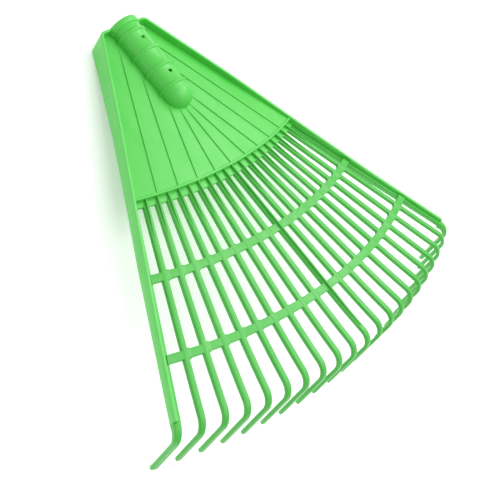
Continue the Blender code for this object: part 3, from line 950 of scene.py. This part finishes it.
@dataclass
class HandleSocket(SubAssembly):
    """The ringed barrel that takes the handle, with its domed end and two screw holes."""

    sizes: SocketSizes

    def profile(self) -> list[tuple[float, float]]:
        """Draw the outside from mouth to dome.

        Returns:
            Pairs of a setback and a radius.
        """
        sizes = self.sizes
        shoulder = REAR + sizes.collar_length
        points = [(REAR + along, sizes.collar + out) for along, out in sizes.lip_profile]
        points += [(shoulder + along, sizes.collar + out) for along, out in sizes.shoulder_profile]
        points.append((shoulder + sizes.shoulder_slope, sizes.barrel))
        height = sizes.ring - sizes.barrel
        half = sizes.ring_width / 2
        bead = [(-offset, rise) for offset, rise in reversed(sizes.bead)] + list(sizes.bead)
        for ring in sizes.rings:
            points += [(ring + half * offset, sizes.barrel + height * rise) for offset, rise in bead]
        points.append((sizes.dome, sizes.barrel))
        steps = 12
        for step in range(1, steps):
            turn = math.pi / 2 * step / steps
            points.append((sizes.dome + sizes.dome_length * math.sin(turn), sizes.barrel * math.cos(turn)))
        points.append((sizes.dome + sizes.dome_length * 0.9995, sizes.barrel * 0.03))  # a tiny flat closes it
        return points

    def screw_cutter(self, setback: float) -> Object:
        """Make the shape of one screw hole, flared at its outer end.

        Args:
            setback: the hole's place along the socket.

        Returns:
            The cutting shape.
        """
        sizes = self.sizes
        top = sizes.axis_height + sizes.barrel - sizes.screw_sunk
        deselect()
        bpy.ops.mesh.primitive_cylinder_add(
            vertices=28,
            radius=sizes.screw_radius,
            depth=sizes.screw_depth,
            location=(0.0, -setback, top - sizes.screw_depth / 2),
        )
        cutter = bpy.context.active_object
        bpy.ops.object.transform_apply(location=True, rotation=True, scale=True)
        bpy.ops.object.mode_set(mode="EDIT")
        pick(cutter, "FACE", lambda face: face.normal.z > 0.9)
        for rise, grow in sizes.screw_flare:
            bpy.ops.mesh.extrude_region_move(TRANSFORM_OT_translate={"value": (0.0, 0.0, rise)})
            bpy.ops.transform.resize(value=(grow, grow, 1.0), center_override=(0.0, -setback, top))
        bpy.ops.object.mode_set(mode="OBJECT")
        smooth(cutter)
        return cutter

    def build(self) -> None:
        """Model the socket."""
        sizes = self.sizes
        profile = self.profile()
        count = len(profile) - 1
        deselect()
        lying = (math.pi / 2, 0.0, 0.0)
        bpy.ops.mesh.primitive_cylinder_add(vertices=72, radius=1.0, depth=1.0, rotation=lying)
        piece = bpy.context.active_object
        piece.name = "ringed_socket"
        bpy.ops.object.transform_apply(location=True, rotation=True, scale=True)
        bpy.ops.object.mode_set(mode="EDIT")
        slice_bar(piece, count)
        bpy.ops.object.mode_set(mode="OBJECT")
        for vertex in piece.data.vertices:
            setback, radius = profile[round((0.5 - vertex.co.y) * count)]
            vertex.co = Vector((vertex.co.x * radius, -setback, vertex.co.z * radius + sizes.axis_height))
        bpy.ops.object.mode_set(mode="EDIT")
        front = -REAR - 0.001
        pick(piece, "FACE", lambda face: len(face.verts) > 8 and face.calc_center_median().y > front)
        bpy.ops.mesh.inset(thickness=sizes.collar - sizes.lip - sizes.bore - sizes.lip, depth=0.0)
        bpy.ops.mesh.inset(thickness=sizes.lip, depth=-sizes.lip)
        inwards = {"value": (0.0, -sizes.bore_depth + sizes.lip, 0.0)}
        bpy.ops.mesh.extrude_region_move(TRANSFORM_OT_translate=inwards)
        bpy.ops.mesh.inset(thickness=sizes.bore_end_rounding, depth=-sizes.lip)
        bpy.ops.object.mode_set(mode="OBJECT")
        for setback in sizes.screw_holes:
            cut_away(piece, self.screw_cutter(setback))
        piece.data.transform(self.fan.stand)
        smooth(piece)
        self.dress(piece, "socket_barrel")


# ---- Panel ----
@dataclass
class PanelSizes:
    """Sizes of the panel between the socket and the tines, in metres."""

    rear_inset: float = 0.0012
    rim_width: float = 0.0026
    rim_top: float = 0.0045
    rim_bottom: float = -0.0034
    rim_rounding: float = 0.0008
    top: float = 0.0030
    rear_top: float = 0.0016
    thickness: float = 0.0025
    web_top: float = -0.0005
    web_bottom: float = -0.0040
    web_rounding: float = 0.0006
    underside_rounding: float = 0.0004
    rib_width: float = 0.0014
    rib_height: float = 0.0011
    rib_aims: tuple[float, ...] = (0.031, 0.062, 0.101, 0.116, 0.120)
    rib_count: int = 9
    rib_stock: float = 0.0024
    rib_sunk: float = 0.0008  # how far a rib reaches into the panel
    rib_start: float = 0.35  # share of its height that a rib has beside the socket
    rib_ramp: float = 6.0  # slices over which a rib would rise by its full height
    first_ribbed: int = 2  # tine that the first rib points to
    socket_bite: float = 0.0012  # how far the opening reaches into the barrel's wall
    dome_bite: float = 0.0020  # how far behind the dome's centre the opening's round end is centred
    opening_height: float = 0.060
    opening_run: float = 0.130


@dataclass
class Panel(SubAssembly):
    """The thin arched panel with its radiating ribs, its raised rim and the web below it."""

    sizes: PanelSizes
    socket_sizes: SocketSizes

    def lift(self, radius: float) -> float:
        """Height of the panel's face over the tines' tops."""
        share = (radius - REAR) / (RIM.radius - REAR)
        return self.sizes.rear_top + (self.sizes.top - self.sizes.rear_top) * share

    def socket_opening(self, reach: float) -> Object:
        """Make the upright shape that the socket takes out of the panel.

        Args:
            reach: half of its width.

        Returns:
            The cutting shape, a cylinder drawn out towards the rear.
        """
        sizes = self.sizes
        deselect()
        dome = sizes.dome_bite - self.socket_sizes.dome
        bpy.ops.mesh.primitive_cylinder_add(
            vertices=48,
            radius=reach,
            depth=sizes.opening_height,
            location=(0.0, dome, 0.0),
        )
        cutter = bpy.context.active_object
        bpy.ops.object.transform_apply(location=True, rotation=True, scale=True)
        bpy.ops.object.mode_set(mode="EDIT")
        bpy.ops.mesh.select_mode(type="VERT")
        bpy.ops.mesh.select_all(action="DESELECT")
        mesh = bmesh.from_edit_mesh(cutter.data)
        for vertex in mesh.verts:
            if vertex.co.y > dome + 0.0001:
                vertex.select_set(True)
        bmesh.update_edit_mesh(cutter.data)
        bpy.ops.transform.translate(value=(0.0, sizes.opening_run, 0.0))
        bpy.ops.object.mode_set(mode="OBJECT")
        return cutter

    def build_plate(self) -> None:
        """Model the panel itself from a grid given a wall thickness."""
        sizes = self.sizes
        deselect()
        bpy.ops.mesh.primitive_grid_add(x_subdivisions=96, y_subdivisions=24, size=1.0)
        piece = bpy.context.active_object
        piece.name = "arched_panel"
        for vertex in piece.data.vertices:
            share = vertex.co.x * 2
            angle = share * self.fan.half_spread
            rear = (REAR + sizes.rear_inset) / math.cos(angle)
            radius = rear + (RIM.at(share) - rear) * (0.5 - vertex.co.y)
            vertex.co = self.fan.across(share, radius, self.lift(radius))
        wall = piece.modifiers.new("wall", "SOLIDIFY")
        wall.thickness = sizes.thickness
        wall.offset = -1.0
        apply_modifiers(piece)
        cut_away(piece, self.socket_opening(self.socket_sizes.bore + sizes.socket_bite))
        piece.data.transform(self.fan.stand)
        smooth(piece)
        self.dress(piece, "panel")

    def build_band(
        self,
        name: str,
        inner: Callable[[float], float],
        outer: Callable[[float], float],
        heights: tuple[float, float],
        rounding: float,
        node: str,
    ) -> None:
        """Model a band that runs across the fan from rail to rail.

        Args:
            name: the piece's name.
            inner: gives its upper edge's radius at a share.
            outer: gives its lower edge's radius at a share.
            heights: height of its face and of its underside.
            rounding: bevel of its upper edges.
            node: the frame's node that it stands for.
        """
        top, bottom = heights
        slices = []
        steps = 80
        for step in range(steps + 1):
            share = -1 + 2 * step / steps
            near = self.fan.across(share, inner(share), top)
            far = self.fan.across(share, outer(share), top)
            slices.append(Slice(near, far, Vector((0.0, 0.0, bottom - top))))
        stock = (outer(0.0) - inner(0.0), top - bottom)
        piece = sweep(name, slices, stock, (rounding, self.sizes.underside_rounding), self.fan.stand)
        self.dress(piece, node)

    def build_rib(self, number: int) -> None:
        """Model one of the low ribs that run from the socket to the rim.

        Args:
            number: which rib, from 0 at the left.
        """
        sizes = self.sizes
        middle = (sizes.rib_count - 1) // 2
        share = self.fan.share(sizes.first_ribbed + 2 * number)
        aim = sizes.rib_aims[middle - abs(number - middle)]
        end = self.fan.across(share, RIM.at(share), 0.0).to_2d()
        source = Vector((0.0, -aim))
        reach = self.socket_sizes.barrel - 0.0006
        low, high = 0.0, 1.0
        for _ in range(30):  # halve the stretch that holds the point where the rib leaves the socket
            half = (low + high) / 2
            point = source.lerp(end, half)
            clear = math.hypot(point.x, max(0.0, -self.socket_sizes.dome - point.y)) > reach
            low, high = (low, half) if clear else (half, high)
        start = source.lerp(end, high)
        forward = (end - start).normalized()
        slices = []
        steps = 20
        for step in range(steps + 1):
            point = start.lerp(end, step / steps)
            rise = min(1.0, sizes.rib_start + step / sizes.rib_ramp)
            sideways = Vector((-forward.y, forward.x)) * sizes.rib_width / 2
            top = self.lift(point.length) + sizes.rib_height * rise
            left = self.fan.over(*(point - sideways), top)
            right = self.fan.over(*(point + sideways), top)
            slices.append(Slice(left, right, Vector((0.0, 0.0, -sizes.rib_height * rise - sizes.rib_sunk))))
        name = f"panel_fin_{number + 1:02d}"
        piece = sweep(name, slices, (sizes.rib_width, sizes.rib_stock), RIB_ROUNDING, self.fan.stand)
        self.dress(piece, f"panel_rib_{number + 1:02d}")

    def build(self) -> None:
        """Model the plate, its rim and web, and all ribs."""
        sizes = self.sizes
        half = sizes.rim_width / 2
        self.build_plate()
        self.build_band(
            "raised_rim",
            lambda share: RIM.at(share, -half),
            lambda share: RIM.at(share, half),
            (sizes.rim_top, sizes.rim_bottom),
            sizes.rim_rounding,
            "arc_rim",
        )
        self.build_band(
            "tine_web",
            RIM.at,
            WEB_END.at,
            (sizes.web_top, sizes.web_bottom),
            sizes.web_rounding,
            "root_web",
        )
        for number in range(sizes.rib_count):
            self.build_rib(number)


# ---- Side flanges ----
@dataclass
class FlangeSizes:
    """Sizes of the upright walls round the head's rear corners and along its sides, in metres."""

    outset: float = 0.0025
    thickness: float = 0.0030
    rear_thickness: float = 0.0026
    inner_end: float = 0.0158
    corner: float = 0.0045
    rounding: float = 0.0006
    stock_depth: float = 0.020
    # radius, upper edge and lower edge
    stations: tuple[tuple[float, float, float], ...] = (
        (0.057, 0.0098, -0.0162),
        (0.155, 0.0089, -0.0101),
        (0.205, 0.0071, -0.0097),
        (0.262, 0.0045, -0.0110),
        (0.290, 0.0036, -0.0119),
        (0.350, 0.0018, -0.0113),
        (0.4350, 0.0010, -0.0104),
    )


@dataclass
class SideFlange(SubAssembly):
    """One side's upright wall, from the socket round the rear corner and down to the outer tine."""

    sizes: FlangeSizes
    side: Side

    def edges(self, radius: float) -> tuple[float, float]:
        """Find the wall's edges, eased between the stated stations.

        Args:
            radius: where along the side.

        Returns:
            Height of its upper and of its lower edge over the tines' tops.
        """
        rows = self.sizes.stations
        radius = min(max(radius, rows[0][0]), rows[-1][0])
        number = max(index for index in range(len(rows) - 1) if rows[index][0] <= radius)
        first, second = rows[number], rows[number + 1]
        span = second[0] - first[0]
        share = (radius - first[0]) / span
        made = []
        for column in (1, 2):
            slopes = []
            for index in (number, number + 1):
                before, after = rows[max(index - 1, 0)], rows[min(index + 1, len(rows) - 1)]
                slopes.append((after[column] - before[column]) / (after[0] - before[0]) * span)
            square, cube = share * share, share**3
            made.append(
                (2 * cube - 3 * square + 1) * first[column]
                + (cube - 2 * square + share) * slopes[0]
                + (3 * square - 2 * cube) * second[column]
                + (cube - square) * slopes[1]
            )
        return made[0], made[1]

    def upright(self, outer: Vector, inner: Vector, radius: float) -> Slice:
        """Make a section of the wall between two points in plan.

        Args:
            outer: a point of its outer face.
            inner: the point of its inner face beside it.
            radius: where along the side its height is taken.

        Returns:
            The section.
        """
        angle = self.side.value * self.fan.half_spread
        base = self.fan.point(radius, angle).z
        upper, lower = self.edges(radius)
        left = Vector((outer.x, outer.y, base + upper))
        right = Vector((inner.x, inner.y, base + upper))
        return Slice(left, right, Vector((0.0, 0.0, lower - upper)))

    def build(self) -> None:
        """Model the wall."""
        sizes, sign = self.sizes, self.side.value
        angle = sign * self.fan.half_spread
        outer_side = sign * sizes.outset
        inner_side = sign * (sizes.outset - sizes.thickness)
        inner_rear = REAR + sizes.rear_thickness
        outer_radius = (REAR + outer_side * math.sin(angle)) / math.cos(angle)
        inner_radius = (inner_rear + inner_side * math.sin(angle)) / math.cos(angle)
        outer_corner = self.fan.point(outer_radius, angle, outer_side)
        inner_corner = self.fan.point(inner_radius, angle, inner_side)
        slices = []
        rear_steps, corner_steps, side_steps = 7, 8, 40
        rear_run = outer_corner.x - sign * (sizes.corner + sizes.inner_end)
        for step in range(rear_steps):
            x = sign * sizes.inner_end + rear_run * step / rear_steps
            outer, inner = Vector((x, -REAR, 0.0)), Vector((x, -inner_rear, 0.0))
            slices.append(self.upright(outer, inner, outer_radius))
        turn_start = outer_corner - Vector((sign * sizes.corner, 0.0, 0.0))
        turn_end = self.fan.point(outer_radius + sizes.corner, angle, outer_side)
        inner_start = Vector((turn_start.x, -inner_rear, 0.0))
        inner_end = self.fan.point(outer_radius + sizes.corner, angle, inner_side)
        for step in range(corner_steps + 1):
            share = step / corner_steps
            outer = turn_start.lerp(outer_corner, share).lerp(outer_corner.lerp(turn_end, share), share)
            inner = inner_start.lerp(inner_corner, share).lerp(inner_corner.lerp(inner_end, share), share)
            slices.append(self.upright(outer, inner, outer_radius + sizes.corner * share))
        first, last = outer_radius + sizes.corner, sizes.stations[-1][0]
        for step in range(1, side_steps + 1):
            radius = first + (last - first) * step / side_steps
            outer = self.fan.point(radius, angle, outer_side)
            inner = self.fan.point(radius, angle, inner_side)
            slices.append(self.upright(outer, inner, radius))
        name = self.side.name.lower()
        stock = (sizes.thickness, sizes.stock_depth)
        piece = sweep(f"flange_{name}", slices, stock, (sizes.rounding, sizes.rounding), self.fan.stand)
        self.dress(piece, f"side_rail_{name}", f"rear_wall_{name}")


# ---- Studio ----
@dataclass
class Studio:
    """The pale floor, the soft lights and the camera."""

    paper: StudioPaper = field(default_factory=StudioPaper)
    camera_place: tuple[float, float, float] = (-0.63508, -0.03764, 0.75248)
    camera_right: tuple[float, float, float] = (0.6402, -0.5296, 0.5565)
    camera_up: tuple[float, float, float] = (0.4114, 0.8481, 0.3338)
    lens: float = 72.0
    film: float = 36.0
    floor_size: float = 60.0
    room_light: float = 0.66

    def build_floor(self) -> None:
        """Lay the floor, a wide flat sheet under the head."""
        deselect()
        place = (0.0, 0.0, FRAME_BOX[0].z)
        bpy.ops.mesh.primitive_grid_add(
            x_subdivisions=8,
            y_subdivisions=8,
            size=self.floor_size,
            location=place,
        )
        floor = bpy.context.active_object
        floor.name = "studio_floor"
        bpy.ops.object.transform_apply(location=True, rotation=True, scale=True)
        floor.data.materials.append(self.paper.material())

    def light(self, name: str, place: Vector, size: float, power: float) -> None:
        """Hang one square soft light that faces the head.

        Args:
            name: the light's name.
            place: where it hangs.
            size: its side.
            power: its power in watts.
        """
        data = bpy.data.lights.new(name, "AREA")
        data.size = size
        data.energy = power
        lamp = bpy.data.objects.new(name, data)
        lamp.location = place
        lamp.rotation_mode = "QUATERNION"
        lamp.rotation_quaternion = (-place).to_track_quat("-Z", "Y")
        bpy.context.scene.collection.objects.link(lamp)

    def build_lights(self) -> None:
        """Set the soft room light and the two lamps."""
        world = bpy.data.worlds.new("studio")
        world.use_nodes = True
        background = world.node_tree.nodes["Background"]
        background.inputs["Color"].default_value = WHITE
        background.inputs["Strength"].default_value = self.room_light
        bpy.context.scene.world = world
        self.light("key_light", Vector((1.3, 0.5, 1.5)), 1.2, 14.0)
        self.light("top_light", Vector((0.5, -0.3, 2.2)), 2.4, 34.0)

    def build_camera(self) -> None:
        """Set the camera."""
        right = Vector(self.camera_right).normalized()
        up = Vector(self.camera_up)
        up = (up - right * up.dot(right)).normalized()
        turn = Matrix((right, up, right.cross(up))).transposed()
        data = bpy.data.cameras.new("camera")
        data.lens = self.lens
        data.sensor_width = self.film
        eye = bpy.data.objects.new("camera", data)
        eye.matrix_world = Matrix.Translation(self.camera_place) @ turn.to_4x4()
        bpy.context.scene.collection.objects.link(eye)
        bpy.context.scene.camera = eye

    def build(self) -> None:
        """Set up the whole studio."""
        self.build_floor()
        self.build_lights()
        self.build_camera()
        bpy.context.scene.view_settings.view_transform = "Standard"


def main() -> None:
    """Build the head and its studio, and log how many pieces were made."""
    logging.basicConfig(level=logging.INFO, format="%(name)s: %(message)s")
    fan = Fan()
    surface = moulded_group()
    finish = MouldedPlastic(
        name="green_polypropylene",
        colour=(0.082, 0.560, 0.070, 1.0),
        deep=(0.064, 0.520, 0.055, 1.0),
        pale=(0.150, 0.640, 0.130, 1.0),
    ).material(surface)
    # A darker copy of the same green plastic for the tines and crossbars: painted shade, the slim parts
    # darkened to stand in for the shade that falls on them.
    shaded_slim_finish = MouldedPlastic(
        name="green_polypropylene_painted_shade",
        colour=(0.060, 0.445, 0.048, 1.0),
        deep=(0.046, 0.405, 0.038, 1.0),
        pale=(0.115, 0.520, 0.100, 1.0),
    ).material(surface)
    socket_sizes = SocketSizes()
    tine_sizes = TineSizes()
    groups = (
        Tines(fan, shaded_slim_finish, tine_sizes),
        Crossbars(fan, shaded_slim_finish, BarSizes(), tine_sizes.width),
        Panel(fan, finish, PanelSizes(), socket_sizes),
        SideFlange(fan, finish, FlangeSizes(), Side.LEFT),
        SideFlange(fan, finish, FlangeSizes(), Side.RIGHT),
        HandleSocket(fan, finish, socket_sizes),
    )
    for group in groups:
        group.build()
    Studio().build()
    log.info("%d pieces", sum(len(group.pieces) for group in groups))


if __name__ == "__main__":
    main()
